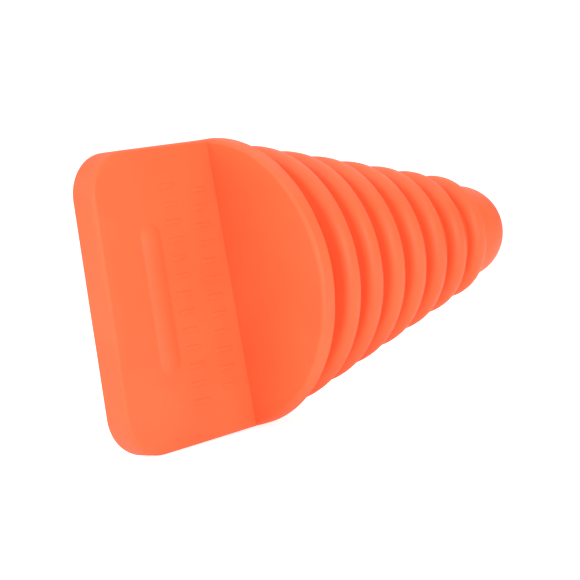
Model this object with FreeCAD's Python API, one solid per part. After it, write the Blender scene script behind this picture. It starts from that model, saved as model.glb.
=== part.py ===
import FreeCAD, Part
import math
import os

# A soft rubber plug that closes the mouth of an exhaust pipe: a flat pull tab, a round stop
# flange, and a tapered core that carries a row of sealing ribs and ends in a ball nose.
# The body behind the flange is a stack of discs: a stretch of core, a rib, and so on.
#
# Millimetres. The origin is the centre of the flange's stop face, which meets the pipe's mouth.
# +X runs along the plug's axis to the nose, the tab lies in the XZ plane, and +Z is up.

# Stop flange
FLANGE_RADIUS = 22.1
FLANGE_THICKNESS = 2.35
FLANGE_BACK_ROUND = 0.7        # edge on the tab's side
FLANGE_STOP_ROUND = 0.25       # edge on the pipe's side
FLANGE_ROOT_ROUND = 1.0        # in the corner between the stop face and the core
FLANGE_ROOT_LENGTH = 1.0       # how far the rounded root runs on along the core

# Sealing ribs: their outer lands lie on one cone, with grooves between them
RIB_COUNT = 7
RIB_PITCH = 6.65
RIB_RADIUS_DROP = 1.64         # from one rib to the next
RIB_LAND = 2.5                 # length of a rib's outer land along the axis
FIRST_RIB_EDGE = 7.78          # from the stop face to the nose-side edge of the first land
FIRST_RIB_RADIUS = 19.8        # at that edge
SHOULDER_DRAFT = 5.0           # degrees from square, on the side that faces the flange
LEAD_DRAFT = 14.0              # degrees from square, on the side that faces the nose
SHOULDER_ROUND = 1.5
LEAD_ROUND = 0.25
LAST_LEAD_ROUND = 1.7          # the last rib runs softly into the nose

# Core and ball nose
CORE_RADIUS = 17.0             # at the stop face
CORE_TAPER = 0.215             # radius lost per millimetre of length
NOSE_RADIUS = 7.75
NOSE_CENTRE = 51.6
NOSE_START = 50.0

# Pull tab
TAB_LENGTH = 24.1              # beyond the flange
TAB_THICKNESS = 4.9
TAB_ROOT_WIDTH = 44.1
TAB_END_WIDTH = 45.5
TAB_CORNER_ROUND = 6.6
TAB_EDGE_ROUND = 0.7

# Low crowned grip bar on the front face of the tab
GRIP_BAR_FROM_FLANGE = 14.25   # centre line
GRIP_BAR_LENGTH = 22.6         # over its round ends
GRIP_BAR_WIDTH = 3.8
GRIP_BAR_HEIGHT = 0.4
GRIP_BAR_FOOT_ROUND = 1.0      # where it runs out into the face
GRIP_BAR_SINK = 0.5            # how far the bar's solid reaches into the slab

# Two rows of low raised grip marks on the front face
MARK_LENGTH = 3.2              # along X
MARK_WIDTH = 0.7
MARK_HEIGHT = 0.12
MARK_PITCH = 2.7
MARK_TOP_ROUND = 0.1
OUTER_ROW_FROM_FLANGE = 9.45   # centre line of the row beside the grip bar
OUTER_ROW_COUNT = 13
INNER_ROW_FROM_FLANGE = 3.55   # centre line of the row beside the flange
INNER_ROW_COUNT = 12

AXIS_POINT = FreeCAD.Vector(0, 0, 0)
AXIS = FreeCAD.Vector(1, 0, 0)
LAND_TAPER = RIB_RADIUS_DROP / RIB_PITCH
FLANGE_BACK = -FLANGE_THICKNESS
TAB_END = FLANGE_BACK - TAB_LENGTH
HALF_THICKNESS = TAB_THICKNESS / 2


def in_section(x, radius):
    """A point of a turned profile, at x along the axis and radius from it."""
    return FreeCAD.Vector(x, 0, radius)


def in_tab_plane(x, z, y=0.0):
    return FreeCAD.Vector(x, y, z)


def rounded_wire(corners):
    """A closed wire through (point, round) pairs, each corner rounded by a tangent arc."""
    edges = []
    ends = []
    count = len(corners)
    for i, (corner, radius) in enumerate(corners):
        back = (corners[i - 1][0] - corner).normalize()
        ahead = (corners[(i + 1) % count][0] - corner).normalize()
        if radius == 0:
            ends.append((corner, corner))
            continue
        half_angle = back.getAngle(ahead) / 2
        start = corner + back * (radius / math.tan(half_angle))
        end = corner + ahead * (radius / math.tan(half_angle))
        inward = (back + ahead).normalize()
        middle = corner + inward * (radius / math.sin(half_angle) - radius)
        edges.append(Part.Arc(start, middle, end).toShape())
        ends.append((start, end))
    for i in range(count):
        start, end = ends[i][1], ends[(i + 1) % count][0]
        if start.distanceToPoint(end) > 1e-6:
            edges.append(Part.LineSegment(start, end).toShape())
    return Part.Wire(Part.__sortEdges__(edges))


def turned(corners):
    """The solid that a closed profile of (x, radius, round) corners sweeps about the axis."""
    wire = rounded_wire([(in_section(x, radius), rnd) for x, radius, rnd in corners])
    return Part.Face(wire).revolve(AXIS_POINT, AXIS, 360)


def core_radius(x):
    return CORE_RADIUS - CORE_TAPER * x


def flank_foot(x, radius, draft):
    """Where a rib's flank from (x, radius) meets the core. A negative draft leans it to -X."""
    lean = math.tan(math.radians(draft))
    return (x + (radius - CORE_RADIUS) * lean) / (1 - CORE_TAPER * lean)


def stop_flange():
    disc = turned([
        (FLANGE_BACK, 0, 0),
        (FLANGE_BACK, FLANGE_RADIUS, FLANGE_BACK_ROUND),
        (0, FLANGE_RADIUS, FLANGE_STOP_ROUND),
        (0, CORE_RADIUS, FLANGE_ROOT_ROUND),
        (FLANGE_ROOT_LENGTH, core_radius(FLANGE_ROOT_LENGTH), 0),
        (FLANGE_ROOT_LENGTH, 0, 0),
    ])
    # the tab's section carries on into the flange, past the round of its edge
    root = Part.makeBox(
        FLANGE_BACK_ROUND, TAB_THICKNESS, TAB_ROOT_WIDTH,
        in_tab_plane(FLANGE_BACK, -TAB_ROOT_WIDTH / 2, -HALF_THICKNESS),
    )
    long_edges = [e for e in root.Edges if abs(e.tangentAt(e.FirstParameter).x) > 0.9]
    return disc.fuse(root.makeFillet(TAB_EDGE_ROUND, long_edges)).removeSplitter()


def nose_start_radius():
    return math.sqrt(NOSE_RADIUS ** 2 - (NOSE_CENTRE - NOSE_START) ** 2)


def land_edges(number):
    """((x, radius) of the flange-side edge, (x, radius) of the nose-side edge) of a rib's land."""
    lead_x = FIRST_RIB_EDGE + (number - 1) * RIB_PITCH
    lead_radius = FIRST_RIB_RADIUS - (number - 1) * RIB_RADIUS_DROP
    return (lead_x - RIB_LAND, lead_radius + LAND_TAPER * RIB_LAND), (lead_x, lead_radius)


def back_foot(number):
    """Where the flange-side flank of a rib meets the core."""
    return flank_foot(*land_edges(number)[0], -SHOULDER_DRAFT)


def front_foot(number):
    """Where the nose-side flank of a rib meets the core, or for the flange, where its root ends."""
    if number == 0:
        return FLANGE_ROOT_LENGTH
    return flank_foot(*land_edges(number)[1], LEAD_DRAFT)


def core_section(number):
    """The stretch of core in the groove on the flange side of a rib. Rib 1 is next to the flange."""
    start, end = front_foot(number - 1), back_foot(number)
    return turned([
        (start, 0, 0),
        (start, core_radius(start), 0),
        (end, core_radius(end), 0),
        (end, 0, 0),
    ])


def sealing_rib(number):
    """A disc between two grooves. The last one's nose-side flank runs down to the ball nose."""
    shoulder, lead = land_edges(number)
    start = back_foot(number)
    if number < RIB_COUNT:
        end = front_foot(number)
        end_radius = core_radius(end)
        lead_round = LEAD_ROUND
    else:
        end = NOSE_START
        end_radius = nose_start_radius()
        lead_round = LAST_LEAD_ROUND
    return turned([
        (start, 0, 0),
        (start, core_radius(start), 0),
        (*shoulder, SHOULDER_ROUND),
        (*lead, lead_round),
        (end, end_radius, 0),
        (end, 0, 0),
    ])


def ball_nose():
    ball = Part.makeSphere(NOSE_RADIUS, FreeCAD.Vector(NOSE_CENTRE, 0, 0), AXIS)
    ahead = Part.makeCylinder(
        2 * NOSE_RADIUS, 3 * NOSE_RADIUS, FreeCAD.Vector(NOSE_START, 0, 0), AXIS
    )
    return ball.common(ahead)


def grip_bar():
    """A crowned strip with round ends, sunk into the slab so that only its crown stands out."""
    half_width = GRIP_BAR_WIDTH / 2
    radius = (half_width ** 2 + GRIP_BAR_HEIGHT ** 2) / (2 * GRIP_BAR_HEIGHT)
    x = FLANGE_BACK - GRIP_BAR_FROM_FLANGE
    y = radius - GRIP_BAR_HEIGHT - HALF_THICKNESS
    half_run = (GRIP_BAR_LENGTH - GRIP_BAR_WIDTH) / 2
    up = FreeCAD.Vector(0, 0, 1)
    crown = Part.makeCylinder(radius, 2 * half_run, in_tab_plane(x, -half_run, y), up)
    for z in (-half_run, half_run):
        crown = crown.fuse(Part.makeSphere(radius, in_tab_plane(x, z, y)))
    front = Part.makeBox(
        2 * radius, GRIP_BAR_HEIGHT + GRIP_BAR_SINK, 2 * (half_run + radius),
        in_tab_plane(x - radius, -half_run - radius, -HALF_THICKNESS - GRIP_BAR_HEIGHT),
    )
    return crown.common(front).removeSplitter()


def on_bar_foot(edge):
    """True for an edge of the grip bar's foot, on the tab's front face and clear of its outline."""
    box = edge.BoundBox
    on_face = abs(box.YMin + HALF_THICKNESS) + abs(box.YMax + HALF_THICKNESS) < 1e-3
    reach = GRIP_BAR_LENGTH / 2 + 1
    inside = box.ZMax < reach and box.ZMin > -reach
    return on_face and inside and box.XMax < FLANGE_BACK - 1 and box.XMin > TAB_END + 1


def pull_tab():
    half_root, half_end = TAB_ROOT_WIDTH / 2, TAB_END_WIDTH / 2
    outline = rounded_wire([
        (in_tab_plane(FLANGE_BACK, -half_root, -HALF_THICKNESS), 0),
        (in_tab_plane(TAB_END, -half_end, -HALF_THICKNESS), TAB_CORNER_ROUND),
        (in_tab_plane(TAB_END, half_end, -HALF_THICKNESS), TAB_CORNER_ROUND),
        (in_tab_plane(FLANGE_BACK, half_root, -HALF_THICKNESS), 0),
    ])
    slab = Part.Face(outline).extrude(FreeCAD.Vector(0, TAB_THICKNESS, 0))
    outline_edges = [
        e for e in slab.Edges
        if e.BoundBox.YLength < 1e-3 and e.BoundBox.XMin < FLANGE_BACK - 1
    ]
    tab = slab.makeFillet(TAB_EDGE_ROUND, outline_edges)
    tab = tab.fuse(grip_bar()).removeSplitter()
    tab = tab.makeFillet(GRIP_BAR_FOOT_ROUND, [e for e in tab.Edges if on_bar_foot(e)])
    return tab


def grip_mark(x, z):
    """A low bar on the tab's front face, with round ends and a softened top."""
    half_run = (MARK_LENGTH - MARK_WIDTH) / 2
    half_width = MARK_WIDTH / 2
    face = -HALF_THICKNESS
    sides = [
        Part.LineSegment(
            in_tab_plane(x - half_run, z + s * half_width, face),
            in_tab_plane(x + half_run, z + s * half_width, face),
        )
        for s in (-1, 1)
    ]
    ends = [
        Part.Arc(
            in_tab_plane(x + s * half_run, z - half_width, face),
            in_tab_plane(x + s * (half_run + half_width), z, face),
            in_tab_plane(x + s * half_run, z + half_width, face),
        )
        for s in (-1, 1)
    ]
    wire = Part.Wire(Part.__sortEdges__([c.toShape() for c in sides + ends]))
    bar = Part.Face(wire).extrude(FreeCAD.Vector(0, -MARK_HEIGHT, 0))
    top = [e for e in bar.Edges if e.BoundBox.YMax < face - MARK_HEIGHT / 2]
    return bar.makeFillet(MARK_TOP_ROUND, top)


def grip_marks(from_flange, count):
    """One row of marks, spread evenly about the tab's middle."""
    x = FLANGE_BACK - from_flange
    first = -(count - 1) / 2 * MARK_PITCH
    return Part.makeCompound([grip_mark(x, first + i * MARK_PITCH) for i in range(count)])


def main():
    shapes = {
        "pull_tab": pull_tab(),
        "grip_marks_outer": grip_marks(OUTER_ROW_FROM_FLANGE, OUTER_ROW_COUNT),
        "grip_marks_inner": grip_marks(INNER_ROW_FROM_FLANGE, INNER_ROW_COUNT),
        "stop_flange": stop_flange(),
        "ball_nose": ball_nose(),
    }
    for number in range(1, RIB_COUNT + 1):
        shapes[f"core_section_{number}"] = core_section(number)
        shapes[f"sealing_rib_{number}"] = sealing_rib(number)
    os.makedirs("parts", exist_ok=True)
    for name, shape in shapes.items():
        print(name, shape.isValid(), len(shape.Solids), round(shape.Volume, 1))
        shape.exportStep(f"parts/{name}.step")


main()
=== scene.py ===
import math

import bmesh
import bpy
from mathutils import Matrix, Vector


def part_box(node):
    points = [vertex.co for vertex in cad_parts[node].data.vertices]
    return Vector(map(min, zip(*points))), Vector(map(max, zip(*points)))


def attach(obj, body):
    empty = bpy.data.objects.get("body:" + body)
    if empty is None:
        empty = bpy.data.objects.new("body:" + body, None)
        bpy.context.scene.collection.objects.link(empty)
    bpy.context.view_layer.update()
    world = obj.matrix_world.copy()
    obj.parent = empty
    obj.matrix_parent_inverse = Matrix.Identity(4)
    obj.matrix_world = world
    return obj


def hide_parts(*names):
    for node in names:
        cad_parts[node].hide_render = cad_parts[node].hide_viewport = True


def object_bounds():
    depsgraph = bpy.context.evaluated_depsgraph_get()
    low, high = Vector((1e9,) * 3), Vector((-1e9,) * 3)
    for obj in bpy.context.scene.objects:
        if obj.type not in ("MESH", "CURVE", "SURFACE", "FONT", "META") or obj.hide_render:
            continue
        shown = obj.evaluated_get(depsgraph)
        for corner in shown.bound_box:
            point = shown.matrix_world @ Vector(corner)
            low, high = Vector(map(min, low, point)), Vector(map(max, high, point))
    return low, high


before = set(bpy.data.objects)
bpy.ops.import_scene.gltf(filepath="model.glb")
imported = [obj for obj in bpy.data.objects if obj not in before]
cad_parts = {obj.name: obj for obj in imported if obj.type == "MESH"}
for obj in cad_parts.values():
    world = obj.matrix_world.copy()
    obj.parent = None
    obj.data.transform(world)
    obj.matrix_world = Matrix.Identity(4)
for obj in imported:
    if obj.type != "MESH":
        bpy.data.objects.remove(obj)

# A rubber wash plug for an exhaust pipe. Lengths are millimetres, apart from the studio block's,
# which are metres. A mesh is built in millimetres and scaled when it becomes a piece.
# x runs along the plug's axis to the nose, and z is up.

CAD_BOX = [list(corner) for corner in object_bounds()]
MM = 0.001

# Turned body
FLANGE_BACK_ROUND = 0.7
FLANGE_STOP_ROUND = 0.25
FLANGE_ROOT_ROUND = 1.0
RIB_COUNT = 7
RIB_PITCH = 6.65
RIB_RADIUS_DROP = 1.64
RIB_LAND = 2.5
FIRST_RIB_EDGE = 7.78
FIRST_RIB_RADIUS = 19.8
SHOULDER_DRAFT = 5.0
LEAD_DRAFT = 14.0
SHOULDER_ROUND = 1.5
LEAD_ROUND = 0.25
LAST_LEAD_ROUND = 1.7
CORE_RADIUS = 17.0
CORE_TAPER = 0.215
GROOVE_ROOT_ROUND = 1.1
NOSE_RADIUS = 7.75
NOSE_CENTRE = 51.6
NOSE_START = 50.0

# Pull tab
TAB_CORNER_ROUND = 6.6
TAB_EDGE_ROUND = 0.7
TAB_THICKNESS = 4.9
TAB_ROOT_WIDTH = 44.1
TAB_END_WIDTH = 45.37
TAB_SINK = 0.7                 # how far its root runs on into the flange
TAB_TWIST = 2.35               # degrees at the free end; soft rubber, not quite flat
GRIP_BAR_FROM_FLANGE = 14.25
GRIP_BAR_LENGTH = 22.6
GRIP_BAR_WIDTH = 3.8
GRIP_BAR_HEIGHT = 0.4
GRIP_BAR_FOOT_ROUND = 1.0

# Rows of grip marks
MARK_LENGTH = 3.2
MARK_WIDTH = 0.7
MARK_HEIGHT = 0.12
MARK_PITCH = 2.7
MARK_TOP_ROUND = 0.1
OUTER_ROW_FROM_FLANGE = 9.45
OUTER_ROW_COUNT = 13
INNER_ROW_FROM_FLANGE = 3.55
INNER_ROW_COUNT = 12
MARK_SINK = 0.05               # how far a mark reaches into the face

# Mesh fineness
TURN_STEPS = 288
ARC_STEP = 9.0                 # degrees of a rounded corner between two rings
NOSE_ARC_STEP = 3.0
ON_AXIS = 1e-6                 # a smaller radius than this is a point on the axis
SUPPORT = 0.05                 # a ring this far from each corner keeps flat walls flat
GROOVE_SWEEP = 1.2             # a groove's sweep up each flank, in groove rounds
TAB_STEP = 0.7                 # between the tab's columns
BAR_STEP = 0.12                # between the columns across the grip bar
BAR_MARGIN = 0.5               # of fine mesh around the grip bar
BAR_RUN_ROW_STEP = 1.2         # between the rows along the grip bar's straight run
BAR_END_ROW_STEP = 0.15
TAB_ROW_STEP = 0.9
TAB_CORNER_STEPS = 14
TAB_EDGE_STEPS = 8
TAB_SIDE_LOOPS = (-0.95, 0, 0.95)  # shares of the way from the middle of its edge
MARK_EDGE_STEPS = 5
MARK_END_STEPS = 10

# Camera, before the tab's front face, with the plug's axis running away to the right.
# Angles are degrees
CAMERA_PLACE = (-243.46, -270.88, 17.80)
CAMERA_AZIMUTH = -43.29
CAMERA_ELEVATION = 3.227
CAMERA_ROLL = 9.899
CAMERA_LENS = 148.6
CAMERA_SENSOR = 36

# Rubber. A noise scale is its cells per metre, and a depth is millimetres
BODY_COLOUR_DEEP = (0.93, 0.134, 0.046)
BODY_COLOUR_LIGHT = (0.97, 0.146, 0.051)
NOISE_SPAN = (0.35, 0.65)      # the part of a noise's range that is stretched over the effect
CLOUD_SCALE = 90
SMUDGE_SCALE = 220
SMUDGE_DETAIL_SHARE = 0.6
GRAIN_SCALE = 5200
GRAIN_STRENGTH = 0.15
GRAIN_DEPTH = 0.02
WAVE_SCALE = 450
WAVE_STRENGTH = 0.25
WAVE_DEPTH = 0.05
ROUGHNESS = (0.42, 0.52)
REFRACTION = 1.43
SPECULAR = 0.3
PAINTED_GLOW = 0.08              # painted glow: the body colour is emitted, standing in for light that the rubber passes on inside itself and lifting the shade in its grooves

# Studio. Lengths in this block are metres
FLOOR_GLOW = 0.3               # what it adds to the light on the object
FLOOR_SHOWN = 0.8              # how brightly it shows in the picture
FLOOR_RADIUS = 0.5
FLOOR_SEGMENTS = 96
FLOOR_GREY = 0.9
FLOOR_ROUGHNESS = 0.9
FLOOR_FADE = (0.4, 0.98)       # where it starts to fade and where it is gone, in floor radii
BACKDROP_STRENGTH = 1.3
FILL_STRENGTH = 0.02
SOFT_LIGHTS = [
    # name, azimuth, elevation, diameter, watts
    ("key", -20, 8, 0.4, 2.8),
    ("left", -110, 35, 0.9, 3.3),
    ("back_left", -140, 10, 0.9, 0.5),
    ("overhead", 0, 80, 0.9, 1.4),
    ("right_top", 100, 65, 0.9, 1.4),
    ("nose_end", 95, 15, 0.9, 0.7),
    ("back_right", 140, 35, 0.9, 0.8),
]
SOFT_LIGHT_DISTANCE = 0.6
CAMERA_CLIP = (0.01, 20)

LAND_TAPER = RIB_RADIUS_DROP / RIB_PITCH
FLANGE_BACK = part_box("stop_flange")[0].x / MM
FLANGE_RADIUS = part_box("stop_flange")[1].y / MM
TAB_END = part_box("pull_tab")[0].x / MM


def as_piece(name, bm, *nodes):
    """A finished mesh object that rides on the body and stands for the CAD nodes."""
    mesh = bpy.data.meshes.new(name)
    bmesh.ops.recalc_face_normals(bm, faces=bm.faces)
    bm.to_mesh(mesh)
    bm.free()
    mesh.transform(Matrix.Scale(MM, 4))
    mesh.shade_smooth()
    piece = bpy.data.objects.new(name, mesh)
    bpy.context.scene.collection.objects.link(piece)
    mesh.materials.append(RUBBER)
    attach(piece, "root")
    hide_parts(*nodes)
    return piece


def rounded(corners):
    """Points along a profile of (x, radius, round) corners, with its sharp corners flagged."""
    points = []
    for i, (x, r, rnd) in enumerate(corners):
        here = Vector((x, r))
        if i in (0, len(corners) - 1):
            points.append((here, True))
            continue
        if rnd is None:
            points.append((here, False))
            continue
        back = (Vector(corners[i - 1][:2]) - here).normalized()
        ahead = (Vector(corners[i + 1][:2]) - here).normalized()
        if rnd == 0:
            points += [(here + back * SUPPORT, False), (here, True), (here + ahead * SUPPORT, False)]
            continue
        half = back.angle(ahead) / 2
        reach = rnd / math.tan(half)
        centre = here + (back + ahead).normalized() * (rnd / math.sin(half))
        start = here + back * reach
        turn = (here + ahead * reach - centre).angle_signed(start - centre)
        steps = max(2, math.ceil(abs(math.degrees(turn)) / ARC_STEP))
        points.append((start + back * SUPPORT, False))
        for k in range(steps + 1):
            spoke = start - centre
            spoke.rotate(Matrix.Rotation(turn * k / steps, 2))
            points.append((centre + spoke, False))
        points.append((here + ahead * (reach + SUPPORT), False))
    return points


def turned(name, corners, *nodes):
    """A closed solid of revolution about x. The profile starts and ends on the axis."""
    bm = bmesh.new()
    rings = []
    profile = rounded(corners)
    for point, sharp in profile:
        if point.y < ON_AXIS:
            rings.append([bm.verts.new((point.x, 0, 0))])
            continue
        angles = [2 * math.pi * k / TURN_STEPS for k in range(TURN_STEPS)]
        rings.append([
            bm.verts.new((point.x, point.y * math.sin(a), point.y * math.cos(a))) for a in angles
        ])
    for ring, following in zip(rings, rings[1:]):
        for k in range(TURN_STEPS):
            corner = [ring[k % len(ring)], ring[(k + 1) % TURN_STEPS % len(ring)]]
            corner += [following[(k + 1) % TURN_STEPS % len(following)], following[k % len(following)]]
            bm.faces.new(dict.fromkeys(corner))
    for ring, (point, sharp) in zip(rings, profile):
        if sharp and len(ring) > 1:
            for k in range(TURN_STEPS):
                bm.edges.get((ring[k], ring[(k + 1) % TURN_STEPS])).smooth = False
    return as_piece(name, bm, *nodes)


def core_radius(x):
    return CORE_RADIUS - CORE_TAPER * x


def flank_foot(x, radius, draft):
    """Where a rib's flank from (x, radius) meets the core. A negative draft leans it to -x."""
    lean = math.tan(math.radians(draft))
    return (x + (radius - CORE_RADIUS) * lean) / (1 - CORE_TAPER * lean)


def land_edges(number):
    """The flange-side and the nose-side edge of a rib's land, as (x, radius)."""
    lead_x = FIRST_RIB_EDGE + (number - 1) * RIB_PITCH
    lead_radius = FIRST_RIB_RADIUS - (number - 1) * RIB_RADIUS_DROP
    return (lead_x - RIB_LAND, lead_radius + LAND_TAPER * RIB_LAND), (lead_x, lead_radius)


def back_foot(number):
    return flank_foot(*land_edges(number)[0], -SHOULDER_DRAFT)


def front_foot(number):
    return flank_foot(*land_edges(number)[1], LEAD_DRAFT)


def nose_start_radius():
    return math.sqrt(NOSE_RADIUS ** 2 - (NOSE_CENTRE - NOSE_START) ** 2)


def make_flange():
    root_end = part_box("stop_flange")[1].x / MM
    turned("stop_flange_visual", [
        (FLANGE_BACK, 0, 0),
        (FLANGE_BACK, FLANGE_RADIUS, FLANGE_BACK_ROUND),
        (0, FLANGE_RADIUS, FLANGE_STOP_ROUND),
        (0, CORE_RADIUS, FLANGE_ROOT_ROUND),
        (root_end, core_radius(root_end), 0),
        (root_end, 0, 0),
    ], "stop_flange")


def make_rib(number):
    shoulder, lead = land_edges(number)
    start = back_foot(number)
    if number < RIB_COUNT:
        end, end_radius, lead_round = front_foot(number), core_radius(front_foot(number)), LEAD_ROUND
    else:
        end, end_radius, lead_round = NOSE_START, nose_start_radius(), LAST_LEAD_ROUND
    turned(f"sealing_rib_{number}_visual", [
        (start, 0, 0),
        (start, core_radius(start), 0),
        (*shoulder, SHOULDER_ROUND),
        (*lead, lead_round),
        (end, end_radius, 0),
        (end, 0, 0),
    ], f"sealing_rib_{number}")


def make_core_section(number):
    """A groove's floor, which sweeps up into the flanks of the ribs beside it."""
    name = f"core_section_{number}"
    start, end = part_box(name)[0].x / MM, back_foot(number)
    sweep = GROOVE_SWEEP * GROOVE_ROOT_ROUND
    shoulder = land_edges(number)[0]
    climb = Vector((shoulder[0] - end, shoulder[1] - core_radius(end))).normalized() * sweep
    corners = [(start, 0, 0), (start, core_radius(start), 0)]
    if number > 1:
        lead = land_edges(number - 1)[1]
        fall = Vector((lead[0] - start, lead[1] - core_radius(start))).normalized() * sweep
        corners = [
            (start + fall.x, 0, 0),
            (start + fall.x, core_radius(start) + fall.y, 0),
            (start, core_radius(start), GROOVE_ROOT_ROUND),
        ]
    corners += [
        (end, core_radius(end), GROOVE_ROOT_ROUND),
        (end + climb.x, core_radius(end) + climb.y, 0),
        (end + climb.x, 0, 0),
    ]
    turned(f"{name}_visual", corners, name)


def make_nose():
    """The ball, from where the last rib's flank ends to the tip."""
    first = math.degrees(math.acos((NOSE_START - NOSE_CENTRE) / NOSE_RADIUS))
    steps = math.ceil(first / NOSE_ARC_STEP)
    corners = [(NOSE_START, 0, 0), (NOSE_START, nose_start_radius(), None)]
    for k in range(1, steps):
        angle = math.radians(first * (1 - k / steps))
        corners.append((
            NOSE_CENTRE + NOSE_RADIUS * math.cos(angle), NOSE_RADIUS * math.sin(angle), None,
        ))
    corners.append((NOSE_CENTRE + NOSE_RADIUS, 0, None))
    turned("ball_nose_visual", corners, "ball_nose")


def spread(start, end, step):
    """Even stations from start up to, but not including, end."""
    count = max(1, round(abs(end - start) / step))
    return [start + (end - start) * k / count for k in range(count)]


def twisted(x, y, z):
    """A point of the flat tab, turned about x with the tab's twist."""
    share = min(max((FLANGE_BACK - x) / (FLANGE_BACK - TAB_END), 0), 1)
    angle = math.radians(TAB_TWIST) * share
    return (
        x,
        y * math.cos(angle) - z * math.sin(angle),
        y * math.sin(angle) + z * math.cos(angle),
    )


def half_width(x):
    share = (FLANGE_BACK - x) / (FLANGE_BACK - TAB_END)
    return (TAB_ROOT_WIDTH + (TAB_END_WIDTH - TAB_ROOT_WIDTH) * share) / 2


def grip_bar_rise(x, z):
    """How far the crowned grip bar lifts the tab's front face at (x, z)."""
    half = GRIP_BAR_WIDTH / 2
    crown = (half ** 2 + GRIP_BAR_HEIGHT ** 2) / (2 * GRIP_BAR_HEIGHT)
    sunk = crown - GRIP_BAR_HEIGHT
    foot = math.sqrt((crown + GRIP_BAR_FOOT_ROUND) ** 2 - (sunk + GRIP_BAR_FOOT_ROUND) ** 2)
    meet = foot * crown / (crown + GRIP_BAR_FOOT_ROUND)
    beyond = max(abs(z) - (GRIP_BAR_LENGTH - GRIP_BAR_WIDTH) / 2, 0)
    off = math.hypot(x - (FLANGE_BACK - GRIP_BAR_FROM_FLANGE), beyond)
    if off >= foot:
        return 0
    if off > meet:
        return GRIP_BAR_FOOT_ROUND - math.sqrt(GRIP_BAR_FOOT_ROUND ** 2 - (foot - off) ** 2)
    return math.sqrt(crown ** 2 - off ** 2) - sunk


def tab_rows(inset):
    """(x of the free end, z) for each row of the tab's grid, from the bottom to the top."""
    corner = TAB_CORNER_ROUND - inset
    straight = TAB_END_WIDTH / 2 - TAB_CORNER_ROUND
    reach = GRIP_BAR_LENGTH / 2
    stations = [
        *spread(0, reach - GRIP_BAR_WIDTH / 2, BAR_RUN_ROW_STEP),
        *spread(reach - GRIP_BAR_WIDTH / 2, reach + BAR_MARGIN, BAR_END_ROW_STEP),
        *spread(reach + BAR_MARGIN, straight, TAB_ROW_STEP),
    ]
    upper = [(TAB_END + inset, z) for z in stations]
    arc = [math.radians(90 * k / TAB_CORNER_STEPS) for k in range(TAB_CORNER_STEPS + 1)]
    upper += [
        (TAB_END + inset + corner * (1 - math.cos(a)), straight + corner * math.sin(a)) for a in arc
    ]
    return [(x, -z) for x, z in reversed(upper[1:])] + upper


def tab_shares():
    """Where the tab's columns stand, as shares of the way from its free end to its root."""
    middle = FLANGE_BACK - GRIP_BAR_FROM_FLANGE
    fine_start = middle - GRIP_BAR_WIDTH / 2 - BAR_MARGIN
    fine_end = middle + GRIP_BAR_WIDTH / 2 + BAR_MARGIN
    edge = TAB_END + TAB_EDGE_ROUND
    root = FLANGE_BACK + TAB_SINK
    stations = [
        *spread(edge, fine_start, TAB_STEP),
        *spread(fine_start, fine_end, BAR_STEP),
        *spread(fine_end, root, TAB_STEP),
        root,
    ]
    return [(x - edge) / (root - edge) for x in stations]


def make_tab():
    bm = bmesh.new()
    shares = tab_shares()
    root = FLANGE_BACK + TAB_SINK

    def place(x, y, z):
        # rows spread with the tab's width
        wide = half_width(x) / (TAB_END_WIDTH / 2)
        return bm.verts.new(twisted(x, y, z * wide))

    def face_grid(side):
        rows = tab_rows(TAB_EDGE_ROUND)
        grid = []
        for free_x, z in rows:
            xs = [free_x + (root - free_x) * s for s in shares]
            half = TAB_THICKNESS / 2
            lifts = [grip_bar_rise(x, z) if side < 0 else 0 for x in xs]
            grid.append([place(x, side * (half + lift), z) for x, lift in zip(xs, lifts)])
        for low, high in zip(grid, grid[1:]):
            for a, b, c, d in zip(low, low[1:], high[1:], high):
                bm.faces.new((a, b, c, d))
        return grid[0][::-1] + [row[0] for row in grid[1:-1]] + grid[-1]

    def loop(inset, y):
        rows = tab_rows(inset)
        low = [rows[0][0] + (root - rows[0][0]) * s for s in shares]
        points = [(x, rows[0][1]) for x in low[::-1]] + rows[1:-1] + [(x, rows[-1][1]) for x in low]
        return [place(x, y, z) for x, z in points]

    flat = TAB_THICKNESS / 2 - TAB_EDGE_ROUND
    bends = [math.radians(90 * k / TAB_EDGE_STEPS) for k in range(1, TAB_EDGE_STEPS + 1)]
    loops = [face_grid(-1)]
    for bend in bends:
        inset = TAB_EDGE_ROUND * (1 - math.sin(bend))
        loops.append(loop(inset, -flat - TAB_EDGE_ROUND * math.cos(bend)))
    loops += [loop(0, flat * s) for s in TAB_SIDE_LOOPS]
    for bend in reversed(bends):
        inset = TAB_EDGE_ROUND * (1 - math.sin(bend))
        loops.append(loop(inset, flat + TAB_EDGE_ROUND * math.cos(bend)))
    loops.append(face_grid(1))
    for near, far in zip(loops, loops[1:]):
        for a, b, c, d in zip(near, near[1:], far[1:], far):
            bm.faces.new((a, b, c, d))
    bmesh.ops.holes_fill(bm, edges=[e for e in bm.edges if e.is_boundary], sides=0)
    as_piece("pull_tab_visual", bm, "pull_tab")


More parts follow.
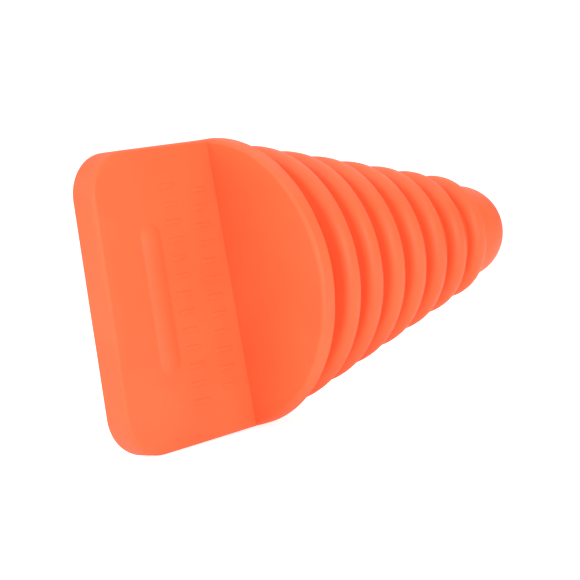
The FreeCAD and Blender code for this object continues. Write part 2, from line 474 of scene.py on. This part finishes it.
def make_marks(node, from_flange, count):
    """One row of low rounded bars on the tab's front face."""
    bm = bmesh.new()
    x_middle = FLANGE_BACK - from_flange
    run = (MARK_LENGTH - MARK_WIDTH) / 2
    bends = [math.radians(90 * k / MARK_EDGE_STEPS) for k in range(MARK_EDGE_STEPS + 1)]
    layers = [(0, -MARK_SINK), (0, 0)]
    layers += [
        (MARK_TOP_ROUND * (1 - math.cos(b)), MARK_HEIGHT - MARK_TOP_ROUND * (1 - math.sin(b)))
        for b in bends
    ]
    turns = [math.radians(180 * k / MARK_END_STEPS) for k in range(MARK_END_STEPS + 1)]
    for i in range(count):
        z_middle = (i - (count - 1) / 2) * MARK_PITCH
        rings = []
        for inset, height in layers:
            radius = MARK_WIDTH / 2 - inset
            ends = [(run + radius * math.sin(t), radius * math.cos(t)) for t in turns]
            outline = ends + [(-x, -z) for x, z in ends]
            rings.append([
                bm.verts.new(twisted(x_middle + x, -TAB_THICKNESS / 2 - height, z_middle + z))
                for x, z in outline
            ])
        for near, far in zip(rings, rings[1:]):
            for k in range(len(near)):
                n = (k + 1) % len(near)
                bm.faces.new((near[k], near[n], far[n], far[k]))
        last = 2 * len(turns) - 1
        for ring in (rings[0], rings[-1]):
            # straight across from one round end to the other
            for k in range(len(turns) - 1):
                bm.faces.new((ring[k], ring[k + 1], ring[last - 1 - k], ring[last - k]))
    as_piece(f"{node}_visual", bm, node)


def make_rubber():
    """Satin silicone rubber: a saturated body colour with a faint painted glow for the light it passes
    on inside itself, and fine grain.
    """
    material = bpy.data.materials.new("orange_rubber_detailed")
    material.use_nodes = True
    nodes, links = material.node_tree.nodes, material.node_tree.links
    shader = nodes["Principled BSDF"]
    place = nodes.new("ShaderNodeTexCoord")

    def noise(scale, detail, roughness=0.5):
        node = nodes.new("ShaderNodeTexNoise")
        node.inputs["Scale"].default_value = scale
        node.inputs["Detail"].default_value = detail
        node.inputs["Roughness"].default_value = roughness
        links.new(place.outputs["Object"], node.inputs["Vector"])
        return node.outputs["Fac"]

    def ramp(source, low, high):
        node = nodes.new("ShaderNodeMapRange")
        node.inputs["From Min"].default_value = NOISE_SPAN[0]
        node.inputs["From Max"].default_value = NOISE_SPAN[1]
        node.inputs["To Min"].default_value = low
        node.inputs["To Max"].default_value = high
        links.new(source, node.inputs["Value"])
        return node.outputs["Result"]

    def bump(height, strength, depth):
        node = nodes.new("ShaderNodeBump")
        node.inputs["Strength"].default_value = strength
        node.inputs["Distance"].default_value = depth * MM
        links.new(height, node.inputs["Height"])
        return node

    clouds = noise(CLOUD_SCALE, 3)
    mix = nodes.new("ShaderNodeMix")
    mix.data_type = "RGBA"
    mix.inputs["A"].default_value = (*BODY_COLOUR_DEEP, 1)
    mix.inputs["B"].default_value = (*BODY_COLOUR_LIGHT, 1)
    links.new(ramp(clouds, 0, 1), mix.inputs["Factor"])
    links.new(mix.outputs["Result"], shader.inputs["Base Color"])
    # painted glow: the body colour is emitted as well, lightening shade as if light passed on through
    # the rubber
    links.new(mix.outputs["Result"], shader.inputs["Emission Color"])
    shader.inputs["Emission Strength"].default_value = PAINTED_GLOW

    smudges = noise(SMUDGE_SCALE, 4, SMUDGE_DETAIL_SHARE)
    links.new(ramp(smudges, *ROUGHNESS), shader.inputs["Roughness"])
    shader.inputs["IOR"].default_value = REFRACTION
    shader.inputs["Specular IOR Level"].default_value = SPECULAR

    grain = noise(GRAIN_SCALE, 2)
    waves = noise(WAVE_SCALE, 2)
    fine = bump(grain, GRAIN_STRENGTH, GRAIN_DEPTH)
    broad = bump(waves, WAVE_STRENGTH, WAVE_DEPTH)
    links.new(fine.outputs["Normal"], broad.inputs["Normal"])
    links.new(broad.outputs["Normal"], shader.inputs["Normal"])
    return material


def make_floor():
    """A plain white floor under the object, which fades into the backdrop and shows little shadow."""
    bm = bmesh.new()
    bmesh.ops.create_circle(bm, cap_ends=True, radius=FLOOR_RADIUS, segments=FLOOR_SEGMENTS)
    bmesh.ops.translate(bm, verts=bm.verts, vec=(0, 0, CAD_BOX[0][2]))
    mesh = bpy.data.meshes.new("floor")
    bm.to_mesh(mesh)
    bm.free()
    floor = bpy.data.objects.new("floor", mesh)
    bpy.context.scene.collection.objects.link(floor)
    paint = bpy.data.materials.new("floor_white")
    paint.use_nodes = True
    nodes, links = paint.node_tree.nodes, paint.node_tree.links
    shader = nodes["Principled BSDF"]
    shader.inputs["Base Color"].default_value = (FLOOR_GREY, FLOOR_GREY, FLOOR_GREY, 1)
    shader.inputs["Roughness"].default_value = FLOOR_ROUGHNESS
    shader.inputs["Emission Color"].default_value = (1, 1, 1, 1)
    path = nodes.new("ShaderNodeLightPath")
    glow = nodes.new("ShaderNodeMapRange")
    glow.inputs["To Min"].default_value = FLOOR_GLOW
    glow.inputs["To Max"].default_value = FLOOR_SHOWN
    links.new(path.outputs["Is Camera Ray"], glow.inputs["Value"])
    links.new(glow.outputs["Result"], shader.inputs["Emission Strength"])
    place = nodes.new("ShaderNodeTexCoord")
    away = nodes.new("ShaderNodeVectorMath")
    away.operation = "LENGTH"
    links.new(place.outputs["Object"], away.inputs[0])
    fade = nodes.new("ShaderNodeMapRange")
    fade.interpolation_type = "SMOOTHSTEP"
    fade.inputs["From Min"].default_value = FLOOR_FADE[0] * FLOOR_RADIUS
    fade.inputs["From Max"].default_value = FLOOR_FADE[1] * FLOOR_RADIUS
    fade.inputs["To Min"].default_value = 1
    fade.inputs["To Max"].default_value = 0
    links.new(away.outputs["Value"], fade.inputs["Value"])
    links.new(fade.outputs["Result"], shader.inputs["Alpha"])
    mesh.materials.append(paint)


def direction(azimuth, elevation):
    """Unit vector from the object towards a viewpoint. Azimuth 0 is -y, and -90 is -x."""
    a, e = math.radians(azimuth), math.radians(elevation)
    return Vector((math.sin(a) * math.cos(e), -math.cos(a) * math.cos(e), math.sin(e)))


def soft_light(name, azimuth, elevation, size, power):
    data = bpy.data.lights.new(name, "AREA")
    data.shape = "DISK"
    data.size = size
    data.energy = power
    lamp = bpy.data.objects.new(name, data)
    bpy.context.scene.collection.objects.link(lamp)
    away = direction(azimuth, elevation)
    lamp.location = away * SOFT_LIGHT_DISTANCE
    lamp.rotation_euler = (-away).to_track_quat("-Z", "Y").to_euler()


def make_world():
    """A white backdrop that the camera sees, and a dimmer even fill that lights the object."""
    world = bpy.data.worlds.new("studio")
    bpy.context.scene.world = world
    world.use_nodes = True
    nodes, links = world.node_tree.nodes, world.node_tree.links
    sky = nodes["Background"]
    sky.inputs["Color"].default_value = (1, 1, 1, 1)
    path = nodes.new("ShaderNodeLightPath")
    strength = nodes.new("ShaderNodeMapRange")
    strength.inputs["To Min"].default_value = FILL_STRENGTH
    strength.inputs["To Max"].default_value = BACKDROP_STRENGTH
    links.new(path.outputs["Is Camera Ray"], strength.inputs["Value"])
    links.new(strength.outputs["Result"], sky.inputs["Strength"])


def make_camera():
    data = bpy.data.cameras.new("camera")
    data.lens = CAMERA_LENS
    data.sensor_width = CAMERA_SENSOR
    data.clip_start, data.clip_end = CAMERA_CLIP
    camera = bpy.data.objects.new("camera", data)
    bpy.context.scene.collection.objects.link(camera)
    back = direction(CAMERA_AZIMUTH, CAMERA_ELEVATION)
    right = (-back).cross(Vector((0, 0, 1))).normalized()
    up = right.cross(-back)
    roll = math.radians(CAMERA_ROLL)
    tilted_up = up * math.cos(roll) + right * math.sin(roll)
    tilted_right = (-back).cross(tilted_up)
    turn = Matrix((tilted_right, tilted_up, back)).transposed().to_4x4()
    camera.matrix_world = Matrix.Translation(Vector(CAMERA_PLACE) * MM) @ turn
    bpy.context.scene.camera = camera


RUBBER = make_rubber()
make_flange()
for number in range(1, RIB_COUNT + 1):
    make_core_section(number)
    make_rib(number)
make_nose()
make_tab()
make_marks("grip_marks_outer", OUTER_ROW_FROM_FLANGE, OUTER_ROW_COUNT)
make_marks("grip_marks_inner", INNER_ROW_FROM_FLANGE, INNER_ROW_COUNT)
make_floor()
make_world()
for light in SOFT_LIGHTS:
    soft_light(*light)
make_camera()
bpy.context.scene.view_settings.view_transform = "Standard"
